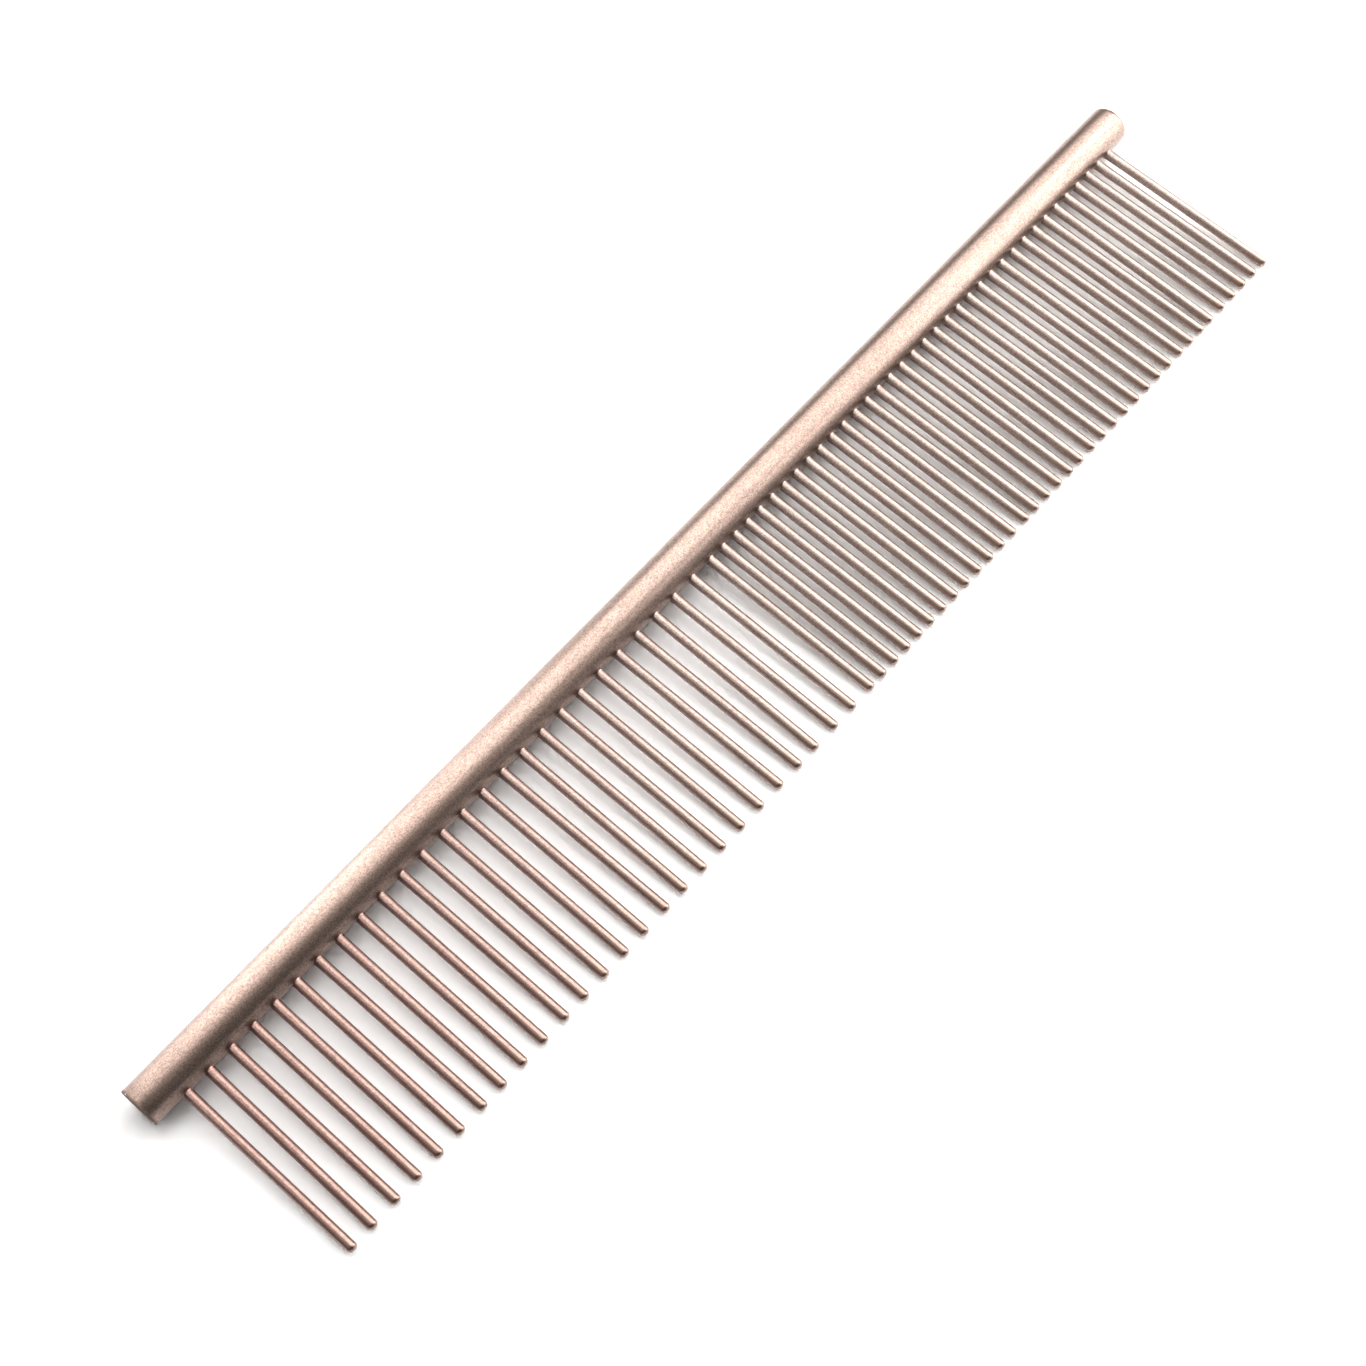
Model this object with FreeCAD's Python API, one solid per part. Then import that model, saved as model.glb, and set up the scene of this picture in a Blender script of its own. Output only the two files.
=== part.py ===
import FreeCAD, Part

import math
import os

from FreeCAD import Vector

# Double-pitch steel grooming comb: one round spine bar with a row of straight round pins pressed into it.
# Millimetres. +X runs along the spine to its fine end, the pins point to -Y, +Z is up.
# The comb lies flat: the spine's underside and the pin tips rest on Z = 0.
# The origin is on that surface, at the middle of the comb's length and width.

# driving dimensions: spine
spine_diameter = 6.0
coarse_end_margin = 5.4
fine_end_margin = 4.8
coarse_end_edge_radius = 0.2
fine_end_edge_radius = 1.0

# driving dimensions: row of pins
coarse_count = 27
coarse_pitch = 3.75
fine_count = 35
fine_pitch = 2.55

# driving dimensions: one pin
pin_diameter = 1.5
pin_exposed_length = 28.6
tip_flat_diameter = 0.3
inner_edge_chamfer = 0.15

# driving dimensions: the blind socket that holds a pin
wall_behind_socket = 1.0
drill_point_angle = 118.0
press_clearance = 0.0

# pins that have sprung out of line in use: place in the row, degrees towards the fine end
sprung_pins = {1: -0.4, 6: 0.45, 10: 0.3, 15: 0.6, 21: 0.3, 22: 0.3,
               23: -0.4, 39: 0.65, 44: -0.35, 53: 0.3, 56: -0.6}

# most files the part may be handed over in; the last fine pins share files in pairs to stay within it
file_limit = 60

# two places closer than this are the same
same_place = 1e-6

# sizes that follow
spine_radius = spine_diameter / 2
pin_radius = pin_diameter / 2
tip_edge_radius = pin_radius - tip_flat_diameter / 2
tip_reach = spine_radius + pin_exposed_length
socket_radius = pin_radius + press_clearance
socket_point_depth = socket_radius / math.tan(math.radians(drill_point_angle / 2))
socket_end = wall_behind_socket + socket_point_depth - spine_radius
pin_count = coarse_count + fine_count
row_length = (coarse_count - 1) * coarse_pitch + fine_count * fine_pitch
spine_length = coarse_end_margin + row_length + fine_end_margin


def rest_tilt():
    """Angle below level at which the pins' rounded tips just touch the surface that the spine lies on."""
    along = tip_reach - tip_edge_radius
    across = pin_radius - tip_edge_radius
    drop = spine_radius - tip_edge_radius
    return math.asin(drop / math.hypot(along, across)) - math.atan2(across, along)


tilt = rest_tilt()
comb_width = spine_radius + (tip_reach - tip_edge_radius) * math.cos(tilt) + tip_edge_radius
spine_y = comb_width / 2 - spine_radius


def pin_place(index):
    """Where pin number index crosses the spine's axis."""
    coarse_steps = min(index, coarse_count - 1)
    fine_steps = index - coarse_steps
    first_pin_x = coarse_end_margin - spine_length / 2
    x = first_pin_x + coarse_steps * coarse_pitch + fine_steps * fine_pitch
    return Vector(x, spine_y, spine_radius)


def pin_direction(index):
    """Unit vector from the spine to the tip of pin number index."""
    lean = math.radians(sprung_pins.get(index, 0.0))
    level = math.cos(lean)
    return Vector(math.sin(lean), -level * math.cos(tilt), -level * math.sin(tilt))


def stand_along(profile_solid, index):
    """Turn a solid made along +Z from the origin onto the line of pin number index."""
    solid = profile_solid.copy()
    turn = FreeCAD.Rotation(Vector(0, 0, 1), pin_direction(index))
    solid.Placement = FreeCAD.Placement(pin_place(index), turn)
    return solid


def lathe(edges):
    """Solid of revolution about +Z from a closed outline in the XZ plane."""
    return Part.Face(Part.Wire(edges)).revolve(Vector(0, 0, 0), Vector(0, 0, 1), 360)


def polyline(points):
    """Straight edges through the points."""
    return [Part.LineSegment(a, b).toShape() for a, b in zip(points, points[1:])]


def make_pin():
    """One pin along +Z, with the spine's axis at Z = 0: chamfered inner end, straight shank, rounded tip."""
    flat = tip_flat_diameter / 2
    shoulder = tip_reach - tip_edge_radius
    bulge = tip_edge_radius * math.sin(math.radians(45))
    outline = polyline([
        Vector(0, 0, tip_reach),
        Vector(0, 0, socket_end),
        Vector(pin_radius - inner_edge_chamfer, 0, socket_end),
        Vector(pin_radius, 0, socket_end + inner_edge_chamfer),
        Vector(pin_radius, 0, shoulder),
    ])
    tip_arc = Part.Arc(
        Vector(pin_radius, 0, shoulder),
        Vector(flat + bulge, 0, shoulder + bulge),
        Vector(flat, 0, tip_reach),
    )
    tip_flat = Part.LineSegment(Vector(flat, 0, tip_reach), Vector(0, 0, tip_reach))
    return lathe(outline + [tip_arc.toShape(), tip_flat.toShape()])


def make_socket():
    """The drilled hole along +Z: full width from past the spine's wall to socket_end, then the drill's point."""
    mouth = spine_diameter
    return lathe(polyline([
        Vector(0, 0, mouth),
        Vector(0, 0, socket_end - socket_point_depth),
        Vector(socket_radius, 0, socket_end),
        Vector(socket_radius, 0, mouth),
        Vector(0, 0, mouth),
    ]))


def round_end(bar, x, radius):
    """Round the edge of the bar's end face at the given X."""
    rims = [edge for edge in bar.Edges if all(abs(v.X - x) < same_place for v in edge.Vertexes)]
    return bar.makeFillet(radius, rims)


def make_spine():
    """The round bar with both ends rounded over and one blind socket for each pin."""
    start = Vector(-spine_length / 2, spine_y, spine_radius)
    bar = Part.makeCylinder(spine_radius, spine_length, start, Vector(1, 0, 0))
    bar = round_end(bar, -spine_length / 2, coarse_end_edge_radius)
    bar = round_end(bar, spine_length / 2, fine_end_edge_radius)
    socket = make_socket()
    return bar.cut([stand_along(socket, index) for index in range(pin_count)])


def pin_groups():
    """File name and pin numbers of each pin node: single pins, then pairs where the file limit is reached."""
    shared = max(0, pin_count + 1 - file_limit)
    first_shared = pin_count - 2 * shared
    groups = {}
    for index in range(first_shared):
        if index < coarse_count:
            name = "coarse_pin_%02d" % (index + 1)
        else:
            name = "fine_pin_%02d" % (index + 1 - coarse_count)
        groups[name] = [index]
    for index in range(first_shared, pin_count, 2):
        number = index + 1 - coarse_count
        groups["fine_pins_%02d_%02d" % (number, number + 1)] = [index, index + 1]
    return groups


os.makedirs("parts", exist_ok=True)
make_spine().exportStep("parts/spine.step")
pin = make_pin()
for name, indexes in pin_groups().items():
    pins = [stand_along(pin, index) for index in indexes]
    shape = pins[0] if len(pins) == 1 else Part.makeCompound(pins)
    shape.exportStep("parts/%s.step" % name)
print("length %.1f mm, width %.1f mm, tilt %.2f degrees" % (spine_length, comb_width, math.degrees(tilt)))
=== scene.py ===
import math

import bmesh
import bpy
from mathutils import Matrix, Quaternion, Vector


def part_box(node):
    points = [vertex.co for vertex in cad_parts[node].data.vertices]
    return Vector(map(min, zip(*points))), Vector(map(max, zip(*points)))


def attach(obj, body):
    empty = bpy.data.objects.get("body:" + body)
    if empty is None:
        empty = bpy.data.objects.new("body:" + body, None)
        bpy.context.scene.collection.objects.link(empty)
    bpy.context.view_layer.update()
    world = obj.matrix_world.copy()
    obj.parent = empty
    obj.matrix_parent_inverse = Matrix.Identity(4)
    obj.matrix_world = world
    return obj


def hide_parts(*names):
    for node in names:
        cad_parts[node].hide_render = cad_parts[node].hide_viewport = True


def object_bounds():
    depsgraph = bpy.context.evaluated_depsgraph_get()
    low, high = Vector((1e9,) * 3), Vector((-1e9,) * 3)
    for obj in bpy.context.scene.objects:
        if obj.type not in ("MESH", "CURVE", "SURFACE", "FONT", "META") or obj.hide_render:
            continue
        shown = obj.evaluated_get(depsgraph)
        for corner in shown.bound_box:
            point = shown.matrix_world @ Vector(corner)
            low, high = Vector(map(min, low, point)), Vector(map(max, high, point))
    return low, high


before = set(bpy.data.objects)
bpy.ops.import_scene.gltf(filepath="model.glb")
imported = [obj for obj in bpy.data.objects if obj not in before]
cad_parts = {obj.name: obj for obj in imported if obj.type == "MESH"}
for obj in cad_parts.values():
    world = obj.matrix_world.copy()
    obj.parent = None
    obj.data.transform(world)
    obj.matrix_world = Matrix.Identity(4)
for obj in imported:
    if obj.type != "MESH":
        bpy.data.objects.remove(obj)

mm = 0.001
mergeWithin = 0.0005 * mm
sameEnd = 0.01 * mm  # how near an end a corner counts as being on it
cadLow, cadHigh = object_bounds()
print("frame loaded:", len(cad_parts), "nodes")


# small helpers for working in edit mode

def dropSelection():
    for thing in bpy.context.selected_objects:
        thing.select_set(False)


def takeUp(thing):
    dropSelection()
    thing.select_set(True)
    bpy.context.view_layer.objects.active = thing


def startEditing(thing, what="FACE"):
    takeUp(thing)
    bpy.ops.object.mode_set(mode="EDIT")
    bpy.ops.mesh.select_mode(type=what)
    bpy.ops.mesh.select_all(action="DESELECT")


def stopEditing():
    bpy.ops.object.mode_set(mode="OBJECT")


def selectFaces(thing, wanted):
    mesh = bmesh.from_edit_mesh(thing.data)
    for face in mesh.faces:
        face.select_set(wanted(face))
    mesh.select_flush_mode()
    bmesh.update_edit_mesh(thing.data)


def selectEdges(thing, wanted):
    mesh = bmesh.from_edit_mesh(thing.data)
    for edge in mesh.edges:
        edge.select_set(wanted(edge))
    bmesh.update_edit_mesh(thing.data)


def settlePlace(thing):
    takeUp(thing)
    bpy.ops.object.transform_apply(location=True, rotation=True, scale=True)


def closeUp(thing, smoothBelow):
    # merge doubles, turn the faces outwards, round the shading
    startEditing(thing, "VERT")
    bpy.ops.mesh.select_all(action="SELECT")
    bpy.ops.mesh.remove_doubles(threshold=mergeWithin)
    bpy.ops.mesh.normals_make_consistent(inside=False)
    bpy.ops.mesh.select_all(action="DESELECT")
    stopEditing()
    takeUp(thing)
    bpy.ops.object.shade_smooth_by_angle(angle=math.radians(smoothBelow))


# where the comb is
spineLow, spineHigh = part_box("spine")
spineRadius = (spineHigh.z - spineLow.z) / 2
spineMiddle = (spineLow + spineHigh) / 2
spineLength = spineHigh.x - spineLow.x


camera = {
    "place": (-0.1027, -0.0891, 0.2732),
    "lookAt": (-0.01201, 0.00173, 0.003),
    "roll": -4.07,
    "lens": 59.73,
    "sensor": 36,
    "clip": (0.01, 20),
}


def setCamera():
    lens = bpy.data.cameras.new("camera")
    lens.lens = camera["lens"]
    lens.sensor_width = camera["sensor"]
    lens.clip_start, lens.clip_end = camera["clip"]
    holder = bpy.data.objects.new("camera", lens)
    bpy.context.scene.collection.objects.link(holder)
    place = Vector(camera["place"])
    look = Vector(camera["lookAt"]) - place
    turn = look.to_track_quat("-Z", "Y") @ Quaternion((0, 0, 1), math.radians(camera["roll"]))
    holder.location = place
    holder.rotation_mode = "QUATERNION"
    holder.rotation_quaternion = turn
    bpy.context.scene.camera = holder
    print("camera set")


# helpers for building materials

def newMaterial(name):
    material = bpy.data.materials.new(name)
    material.use_nodes = True
    nodes = material.node_tree.nodes
    nodes.clear()
    out = nodes.new("ShaderNodeOutputMaterial")
    shader = nodes.new("ShaderNodeBsdfPrincipled")
    material.node_tree.links.new(shader.outputs["BSDF"], out.inputs["Surface"])
    return material, material.node_tree, shader


def startGroup(name, takes, gives):
    group = bpy.data.node_groups.new(name, "ShaderNodeTree")
    for label, kind, value in takes:
        socket = group.interface.new_socket(name=label, in_out="INPUT", socket_type=kind)
        if value is not None:
            socket.default_value = value
    for label, kind in gives:
        group.interface.new_socket(name=label, in_out="OUTPUT", socket_type=kind)
    return group, group.nodes.new("NodeGroupInput"), group.nodes.new("NodeGroupOutput")


def mathNode(tree, operation, a, b=None):
    node = tree.nodes.new("ShaderNodeMath")
    node.operation = operation
    for socket, value in zip(node.inputs, (a, b)):
        if value is None:
            continue
        if isinstance(value, (int, float)):
            socket.default_value = value
        else:
            tree.links.new(value, socket)
    return node.outputs[0]


def noiseNode(tree, where, scale, detail=2.0, roughness=0.5):
    node = tree.nodes.new("ShaderNodeTexNoise")
    node.inputs["Detail"].default_value = detail
    node.inputs["Roughness"].default_value = roughness
    tree.links.new(where, node.inputs["Vector"])
    if isinstance(scale, (int, float)):
        node.inputs["Scale"].default_value = scale
    else:
        tree.links.new(scale, node.inputs["Scale"])
    return node.outputs["Fac"]


def rangeNode(tree, value, fromLow, fromHigh, toLow=0.0, toHigh=1.0, smooth=True):
    node = tree.nodes.new("ShaderNodeMapRange")
    node.interpolation_type = "SMOOTHSTEP" if smooth else "LINEAR"
    for label, amount in (("Value", value), ("From Min", fromLow), ("From Max", fromHigh),
                          ("To Min", toLow), ("To Max", toHigh)):
        if isinstance(amount, (int, float)):
            node.inputs[label].default_value = amount
        else:
            tree.links.new(amount, node.inputs[label])
    return node.outputs["Result"]


def mixColour(tree, amount, first, second):
    node = tree.nodes.new("ShaderNodeMix")
    node.data_type = "RGBA"
    for socket, value in ((node.inputs[0], amount), (node.inputs[6], first), (node.inputs[7], second)):
        if isinstance(value, (int, float, tuple)):
            socket.default_value = value
        else:
            tree.links.new(value, socket)
    return node.outputs[2]


def scaleColour(tree, colour, amount):
    node = tree.nodes.new("ShaderNodeVectorMath")
    node.operation = "SCALE"
    tree.links.new(colour, node.inputs["Vector"])
    tree.links.new(amount, node.inputs["Scale"])
    return node.outputs["Vector"]


flakeMix = {
    "low": 0.2,  # the flake pattern mostly lies between these two
    "high": 0.8,
    "cells": 0.5,
    "speckle": 0.5,
    "flakeHeight": 0.7,
    "peelHeight": 0.25,
    "speckleNoise": (3.0, 0.65),  # detail and roughness of the noise
    "cloudNoise": (4.0, 0.6),
    "cloudBand": (0.3, 0.7),  # the noise runs from one cloud tone to the other between these two
}


def makeCoatGrain():
    # metallic flakes, the slight peel of the coat, and slow clouding over the whole comb
    tree, into, out = startGroup(
        "coatGrain",
        [("Where", "NodeSocketVector", None), ("Flakes Per Metre", "NodeSocketFloat", 6000.0),
         ("Peel Per Metre", "NodeSocketFloat", 900.0), ("Clouds Per Metre", "NodeSocketFloat", 60.0)],
        [("Flakes", "NodeSocketFloat"), ("Height", "NodeSocketFloat"), ("Clouds", "NodeSocketFloat")])
    where = into.outputs["Where"]
    cells = tree.nodes.new("ShaderNodeTexVoronoi")
    cells.feature = "F1"
    tree.links.new(where, cells.inputs["Vector"])
    tree.links.new(into.outputs["Flakes Per Metre"], cells.inputs["Scale"])
    shade = tree.nodes.new("ShaderNodeSeparateColor")
    tree.links.new(cells.outputs["Color"], shade.inputs["Color"])
    speckle = noiseNode(tree, where, into.outputs["Flakes Per Metre"], *flakeMix["speckleNoise"])
    cellPart = mathNode(tree, "MULTIPLY", shade.outputs["Red"], flakeMix["cells"])
    specklePart = mathNode(tree, "MULTIPLY", speckle, flakeMix["speckle"])
    flakes = mathNode(tree, "ADD", cellPart, specklePart)
    peel = noiseNode(tree, where, into.outputs["Peel Per Metre"])
    flakePart = mathNode(tree, "MULTIPLY", flakes, flakeMix["flakeHeight"])
    peelPart = mathNode(tree, "MULTIPLY", peel, flakeMix["peelHeight"])
    height = mathNode(tree, "ADD", flakePart, peelPart)
    clouds = noiseNode(tree, where, into.outputs["Clouds Per Metre"], *flakeMix["cloudNoise"])
    tree.links.new(flakes, out.inputs["Flakes"])
    tree.links.new(height, out.inputs["Height"])
    tree.links.new(rangeNode(tree, clouds, *flakeMix["cloudBand"]), out.inputs["Clouds"])
    return tree


chips = {
    "edge": 0.03,  # how sharply a chip ends
    "from": 0.15,  # chips begin and are full at these shares of the rubbed depth
    "full": 0.5,
    "noise": (4.0, 0.6),
}


def makeRubbed():
    # how much the coat is rubbed between two depths, with a ragged edge, and the small chips among it
    tree, into, out = startGroup(
        "rubbedCoat",
        [("Where", "NodeSocketVector", None), ("Depth", "NodeSocketFloat", 0.0),
         ("Starts", "NodeSocketFloat", 0.0), ("Full", "NodeSocketFloat", 1.0),
         ("Raggedness", "NodeSocketFloat", 0.3), ("Patches Per Metre", "NodeSocketFloat", 1200.0),
         ("Chips Above", "NodeSocketFloat", 0.62)],
        [("Rubbed", "NodeSocketFloat"), ("Chips", "NodeSocketFloat")])
    patches = noiseNode(tree, into.outputs["Where"], into.outputs["Patches Per Metre"], *chips["noise"])
    shift = mathNode(tree, "MULTIPLY", mathNode(tree, "SUBTRACT", patches, 0.5), into.outputs["Raggedness"])
    depth = rangeNode(tree, into.outputs["Depth"], into.outputs["Starts"], into.outputs["Full"], smooth=False)
    ragged = mathNode(tree, "MULTIPLY", depth, mathNode(tree, "ADD", shift, 1.0))
    tree.links.new(rangeNode(tree, ragged, 0.0, 1.0), out.inputs["Rubbed"])
    above = into.outputs["Chips Above"]
    bare = rangeNode(tree, patches, above, mathNode(tree, "ADD", above, chips["edge"]))
    near = rangeNode(tree, depth, chips["from"], chips["full"])
    tree.links.new(mathNode(tree, "MULTIPLY", bare, near), out.inputs["Chips"])
    return tree


coatGrain = makeCoatGrain()
rubbedCoat = makeRubbed()


def placeGroup(tree, group, values, links):
    node = tree.nodes.new("ShaderNodeGroup")
    node.node_tree = group
    for label, value in values.items():
        node.inputs[label].default_value = value
    for label, source in links.items():
        tree.links.new(source, node.inputs[label])
    return node


def placeGrain(tree, where, coat):
    return placeGroup(tree, coatGrain, {
        "Flakes Per Metre": coat["flakesPerMetre"],
        "Peel Per Metre": coat["peelPerMetre"],
        "Clouds Per Metre": coat["cloudsPerMetre"]}, {"Where": where})


def flakeRange(tree, flakes, atLow, atHigh, smooth):
    return rangeNode(tree, flakes, flakeMix["low"], flakeMix["high"], atLow, atHigh, smooth)


def addBump(tree, shader, coat, height):
    bump = tree.nodes.new("ShaderNodeBump")
    bump.inputs["Strength"].default_value = coat["bump"]
    bump.inputs["Distance"].default_value = coat["bumpDistance"]
    tree.links.new(height, bump.inputs["Height"])
    tree.links.new(bump.outputs["Normal"], shader.inputs["Normal"])


spineCoat = {
    "light": (0.325, 0.232, 0.193, 1.0),
    "deep": (0.290, 0.202, 0.166, 1.0),
    "worn": (0.20, 0.15, 0.13, 1.0),
    "wornRoughness": 0.7,
    "bare": (0.60, 0.56, 0.52, 1.0),
    "chipsAbove": 0.63,
    "roughness": (0.32, 0.42),
    "clearCoat": 0.7,
    "clearRoughness": 0.30,
    "flakesPerMetre": 6500.0,
    "flakeContrast": 0.62,
    "peelPerMetre": 1100.0,
    "cloudsPerMetre": 55.0,
    "bump": 0.45,
    "bumpDistance": 0.03 * mm,
    "rubbedEndDepth": 1.0 * mm,
    "raggedness": 1.2,
    "patchesPerMetre": 900.0,
    "wornFrom": 0.45,
    "wornFull": 0.95,
}


def makeSpineCoat():
    material, tree, shader = newMaterial("spineCoat")
    where = tree.nodes.new("ShaderNodeTexCoord").outputs["Object"]
    grain = placeGrain(tree, where, spineCoat)
    place = tree.nodes.new("ShaderNodeSeparateXYZ")
    tree.links.new(where, place.inputs[0])
    reach = mathNode(tree, "ABSOLUTE", mathNode(tree, "SUBTRACT", place.outputs["X"], spineMiddle.x))
    rubbed = placeGroup(tree, rubbedCoat, {
        "Starts": spineLength / 2 - spineCoat["rubbedEndDepth"],
        "Full": spineLength / 2,
        "Raggedness": spineCoat["raggedness"],
        "Patches Per Metre": spineCoat["patchesPerMetre"],
        "Chips Above": spineCoat["chipsAbove"]}, {"Where": where, "Depth": reach})
    worn = rangeNode(tree, rubbed.outputs["Rubbed"], spineCoat["wornFrom"], spineCoat["wornFull"])
    tone = mixColour(tree, grain.outputs["Clouds"], spineCoat["deep"], spineCoat["light"])
    contrast = spineCoat["flakeContrast"]
    shade = flakeRange(tree, grain.outputs["Flakes"], contrast, 2 - contrast, False)
    tone = scaleColour(tree, tone, shade)
    tone = mixColour(tree, worn, tone, spineCoat["worn"])
    tone = mixColour(tree, rubbed.outputs["Chips"], tone, spineCoat["bare"])
    tree.links.new(tone, shader.inputs["Base Color"])
    low, high = spineCoat["roughness"]
    rough = flakeRange(tree, grain.outputs["Flakes"], high, low, True)
    rough = rangeNode(tree, worn, 0.0, 1.0, rough, spineCoat["wornRoughness"], smooth=False)
    tree.links.new(rough, shader.inputs["Roughness"])
    clear = rangeNode(tree, worn, 0.0, 1.0, spineCoat["clearCoat"], 0.0, smooth=False)
    tree.links.new(clear, shader.inputs["Coat Weight"])
    addBump(tree, shader, spineCoat, grain.outputs["Height"])
    shader.inputs["Metallic"].default_value = 1.0
    shader.inputs["Coat Roughness"].default_value = spineCoat["clearRoughness"]
    return material


pinCoat = {
    "light": (0.308, 0.192, 0.162, 1.0),
    "deep": (0.273, 0.166, 0.139, 1.0),
    # painted light: lighter tones for the fine end, standing in for the brighter light there, blended in
    # between the two X places below
    "paintedLitLight": (0.385, 0.303, 0.268, 1.0),
    "paintedLitDeep": (0.342, 0.262, 0.230, 1.0),
    "paintedLightFrom": -90.0 * mm,
    "paintedLightFull": 30.0 * mm,
    "rubbed": (0.30, 0.20, 0.158, 1.0),
    "roughness": (0.30, 0.40),
    "clearCoat": 0.6,
    "clearRoughness": 0.3,
    "flakesPerMetre": 6000.0,
    "flakeContrast": 0.68,
    "peelPerMetre": 1600.0,
    "cloudsPerMetre": 140.0,
    "bump": 0.35,
    "bumpDistance": 0.03 * mm,
    "rubbedTipDepth": 5.0 * mm,
    "rubbedAmount": 0.6,
    "raggedness": 1.0,
    "patchesPerMetre": 1500.0,
}


def makePinCoat():
    material, tree, shader = newMaterial("pinCoat")
    where = tree.nodes.new("ShaderNodeTexCoord").outputs["Object"]
    grain = placeGrain(tree, where, pinCoat)
    place = tree.nodes.new("ShaderNodeSeparateXYZ")
    tree.links.new(where, place.inputs[0])
    rubbed = placeGroup(tree, rubbedCoat, {
        "Starts": cadLow.y + pinCoat["rubbedTipDepth"],
        "Full": cadLow.y,
        "Raggedness": pinCoat["raggedness"],
        "Patches Per Metre": pinCoat["patchesPerMetre"]}, {"Where": where, "Depth": place.outputs["Y"]})
    # painted light: the coat's tones run lighter towards the fine end, standing in for the brighter light
    # that falls there
    paintedFineEndLight = rangeNode(tree, place.outputs["X"], pinCoat["paintedLightFrom"], pinCoat["paintedLightFull"])
    deep = mixColour(tree, paintedFineEndLight, pinCoat["deep"], pinCoat["paintedLitDeep"])
    light = mixColour(tree, paintedFineEndLight, pinCoat["light"], pinCoat["paintedLitLight"])
    tone = mixColour(tree, grain.outputs["Clouds"], deep, light)
    contrast = pinCoat["flakeContrast"]
    shade = flakeRange(tree, grain.outputs["Flakes"], contrast, 2 - contrast, False)
    tone = scaleColour(tree, tone, shade)
    atTip = mathNode(tree, "MULTIPLY", rubbed.outputs["Rubbed"], pinCoat["rubbedAmount"])
    tone = mixColour(tree, atTip, tone, pinCoat["rubbed"])
    tree.links.new(tone, shader.inputs["Base Color"])
    low, high = pinCoat["roughness"]
    rough = flakeRange(tree, grain.outputs["Flakes"], high, low, True)
    tree.links.new(rough, shader.inputs["Roughness"])
    addBump(tree, shader, pinCoat, grain.outputs["Height"])
    shader.inputs["Metallic"].default_value = 1.0
    shader.inputs["Coat Weight"].default_value = pinCoat["clearCoat"]
    shader.inputs["Coat Roughness"].default_value = pinCoat["clearRoughness"]
    return material


spine = {
    "sidesAround": 128,
    "ringsAlong": 79,
    "coarseEndRound": 0.2 * mm,
    "fineEndRound": 1.0 * mm,
    "roundSteps": 8,
    "faceInset": 0.5 * mm,
    "smoothBelow": 35,
}


def makeSpine(coat):
    bpy.ops.mesh.primitive_cylinder_add(
        vertices=spine["sidesAround"], radius=spineRadius, depth=spineLength,
        location=spineMiddle, rotation=(0, math.radians(90), 0))
    bar = bpy.context.object
    bar.name = "spineBar"
    settlePlace(bar)
    startEditing(bar, "EDGE")
    selectEdges(bar, lambda e: abs(e.verts[0].co.x - e.verts[1].co.x) > spineLength / 2)
    bpy.ops.mesh.subdivide(number_cuts=spine["ringsAlong"])
    for endX, roundness in ((spineLow.x, spine["coarseEndRound"]), (spineHigh.x, spine["fineEndRound"])):
        bpy.ops.mesh.select_all(action="DESELECT")
        selectEdges(bar, lambda e: all(abs(v.co.x - endX) < sameEnd for v in e.verts))
        bpy.ops.mesh.bevel(offset=roundness, segments=spine["roundSteps"], profile=0.5, affect="EDGES")
        bpy.ops.mesh.select_mode(type="FACE")
        selectFaces(bar, lambda f: all(abs(v.co.x - endX) < sameEnd for v in f.verts) and len(f.verts) > 4)
        bpy.ops.mesh.inset(thickness=spine["faceInset"])
        bpy.ops.mesh.inset(thickness=spine["faceInset"])
        bpy.ops.mesh.poke()
        bpy.ops.mesh.select_mode(type="EDGE")
    stopEditing()
    closeUp(bar, spine["smoothBelow"])
    bar.data.materials.clear()
    bar.data.materials.append(coat)
    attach(bar, "root")
    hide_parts("spine")
    return bar


pin = {
    "radius": 0.75 * mm,
    "tipRound": 0.6 * mm,
    "sidesAround": 40,
    "tipSteps": 7,
    "collarHigh": 0.12 * mm,
    "collarWide": 0.07 * mm,
    "collarSteps": 5,
    "buried": 0.5 * mm,
    "apart": 0.3 * mm,  # a gap along the spine wider than this parts two pins of one CAD node
    "rimDepth": 0.06 * mm,
    "smoothBelow": 40,
}


def pinLines(node):
    # each pin in a CAD node: the middle of its tip flat, and the middle of its inner end
    corners = sorted((v.co.copy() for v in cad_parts[node].data.vertices), key=lambda p: p.x)
    groups = [[corners[0]]]
    for before, corner in zip(corners, corners[1:]):
        if corner.x - before.x > pin["apart"]:
            groups.append([])
        groups[-1].append(corner)
    lines = []
    for group in groups:
        ends = []
        for side in (-1, 1):
            edge = max(side * p.y for p in group)
            rim = [p for p in group if side * p.y > edge - pin["rimDepth"]]
            low = Vector([min(p[axis] for p in rim) for axis in range(3)])
            high = Vector([max(p[axis] for p in rim) for axis in range(3)])
            ends.append((low + high) / 2)
        lines.append(ends)
    return lines


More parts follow.
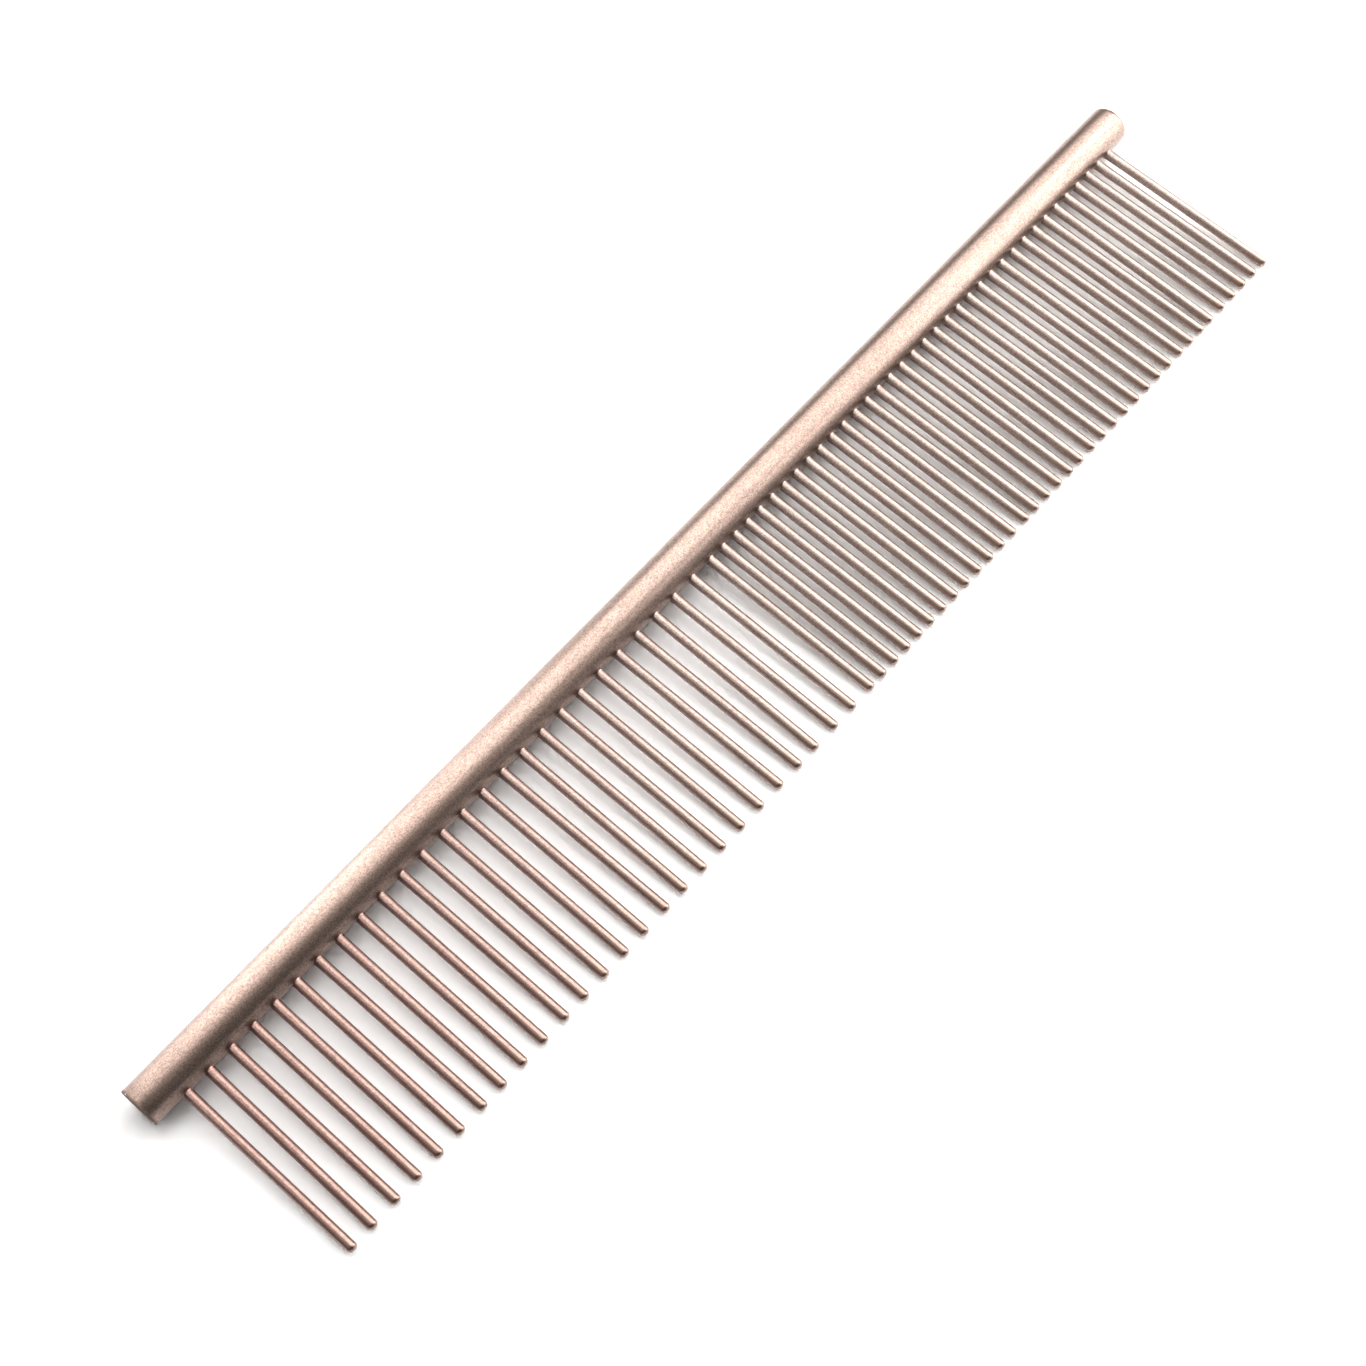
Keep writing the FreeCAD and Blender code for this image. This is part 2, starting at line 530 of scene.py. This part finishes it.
def makePinMaster(reach):
    # one pin on the Y axis, its tip at -reach, the spine's axis at the origin
    foot = spineRadius + pin["collarHigh"]
    bpy.ops.mesh.primitive_cylinder_add(
        vertices=pin["sidesAround"], radius=pin["radius"], depth=reach - foot,
        location=(0, -(reach + foot) / 2, 0), rotation=(math.radians(90), 0, 0))
    master = bpy.context.object
    master.name = "pinMaster"
    settlePlace(master)
    startEditing(master, "EDGE")
    selectEdges(master, lambda e: all(v.co.y < -reach + sameEnd for v in e.verts))
    bpy.ops.mesh.bevel(offset=pin["tipRound"], segments=pin["tipSteps"], profile=0.5, affect="EDGES")
    bpy.ops.mesh.select_mode(type="FACE")
    selectFaces(master, lambda f: len(f.verts) > 4 and f.normal.y < -0.9)
    bpy.ops.mesh.poke()
    # the coat's fillet where the pin leaves the spine, then the stub inside
    selectFaces(master, lambda f: len(f.verts) > 4 and f.normal.y > 0.9)
    place, width = foot, pin["radius"]
    for step in range(1, pin["collarSteps"] + 1):
        turn = math.radians(90) * step / pin["collarSteps"]
        newPlace = foot - pin["collarHigh"] * math.sin(turn)
        newWidth = pin["radius"] + pin["collarWide"] * (1 - math.cos(turn))
        bpy.ops.mesh.extrude_region_move(TRANSFORM_OT_translate={"value": (0, place - newPlace, 0)})
        wider = newWidth / width
        bpy.ops.transform.resize(value=(wider, 1, wider), center_override=(0, -newPlace, 0))
        place, width = newPlace, newWidth
    bpy.ops.mesh.extrude_region_move(TRANSFORM_OT_translate={"value": (0, pin["buried"], 0)})
    bpy.ops.mesh.poke()
    stopEditing()
    # the fillet follows the round of the bar above and below the pin
    for vertex in master.data.vertices:
        if vertex.co.y > -foot:
            share = min(1.0, (vertex.co.y + foot) / pin["collarHigh"])
            vertex.co.y += share * (spineRadius - math.sqrt(spineRadius ** 2 - vertex.co.z ** 2))
    closeUp(master, pin["smoothBelow"])
    return master


def makePins(coat):
    count = 0
    master = None
    for node in sorted(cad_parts):
        if node == "spine":
            continue
        lines = pinLines(node)
        for number, (tip, inner) in enumerate(lines):
            along = (tip - inner).normalized()
            # the point of the pin's line that is nearest the spine's axis
            run = (spineMiddle.y - inner.y) / along.y
            root = inner + along * run
            if master is None:
                master = makePinMaster((tip - root).length)
            side = Vector((1, 0, 0))
            side = (side - along * side.dot(along)).normalized()
            up = side.cross(-along)
            turn = Matrix((side, -along, up)).transposed().to_4x4()
            one = master.copy()
            one.data = master.data.copy()
            letter = "_" + "ab"[number] if len(lines) > 1 else ""
            one.name = node + letter + "_coated"
            one.data.name = one.name
            one.data.transform(Matrix.Translation(root) @ turn)
            bpy.context.scene.collection.objects.link(one)
            one.data.materials.clear()
            one.data.materials.append(coat)
            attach(one, "root")
            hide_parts(node)
            count += 1
    bpy.data.objects.remove(master)
    print("pins:", count)


studio = {
    "floorSize": 4.0,
    "floorColour": (0.93, 0.93, 0.935, 1.0),
    "floorRoughness": 0.28,
    "floorDepth": 3.0 * mm,
    "worldColour": (0.93, 0.96, 1.0, 1.0),
    "worldStrength": 0.08,
}

# each lamp faces the comb's middle: bearing from +X and rise above the floor in degrees,
# how far away, width and height in metres, watts
lights = {
    "top": {"bearing": 28, "rise": 61, "away": 0.6, "size": (0.80, 0.62), "power": 5.7},
    "right": {"bearing": -27, "rise": 26, "away": 0.36, "size": (0.38, 0.30), "power": 1.75},
    "left": {"bearing": 87, "rise": 14, "away": 0.9, "size": (0.20, 1.44), "power": 7.2},
    "farLeft": {"bearing": 149, "rise": 37, "away": 0.9, "size": (0.20, 1.41), "power": 3.8},
}
lightColour = (1.0, 0.985, 0.965)


def makeFloor():
    bpy.ops.mesh.primitive_grid_add(x_subdivisions=2, y_subdivisions=2, size=studio["floorSize"])
    floor = bpy.context.object
    floor.name = "floor"
    material, tree, shader = newMaterial("paleGloss")
    shader.inputs["Base Color"].default_value = studio["floorColour"]
    shader.inputs["Roughness"].default_value = studio["floorRoughness"]
    # a milky sheet that lets light spread sideways under the pins
    shader.subsurface_method = "BURLEY"
    shader.inputs["Subsurface Weight"].default_value = 1.0
    shader.inputs["Subsurface Radius"].default_value = (1.0, 1.0, 1.0)
    shader.inputs["Subsurface Scale"].default_value = studio["floorDepth"]
    floor.data.materials.append(material)


def makeLights():
    for name, light in lights.items():
        lamp = bpy.data.lights.new(name, "AREA")
        lamp.shape = "RECTANGLE"
        lamp.size, lamp.size_y = light["size"]
        lamp.energy = light["power"]
        lamp.color = lightColour
        holder = bpy.data.objects.new(name, lamp)
        bearing, rise = math.radians(light["bearing"]), math.radians(light["rise"])
        flat = math.cos(rise)
        towards = Vector((flat * math.cos(bearing), flat * math.sin(bearing), math.sin(rise)))
        holder.location = towards * light["away"]
        holder.rotation_euler = towards.to_track_quat("Z", "Y").to_euler()
        bpy.context.scene.collection.objects.link(holder)
    world = bpy.data.worlds.new("studio")
    world.use_nodes = True
    back = world.node_tree.nodes["Background"]
    back.inputs["Color"].default_value = studio["worldColour"]
    back.inputs["Strength"].default_value = studio["worldStrength"]
    bpy.context.scene.world = world


setCamera()
makeSpine(makeSpineCoat())
print("spine made")
makePins(makePinCoat())
makeFloor()
makeLights()
bpy.context.scene.view_settings.view_transform = "Standard"
print("stage set")
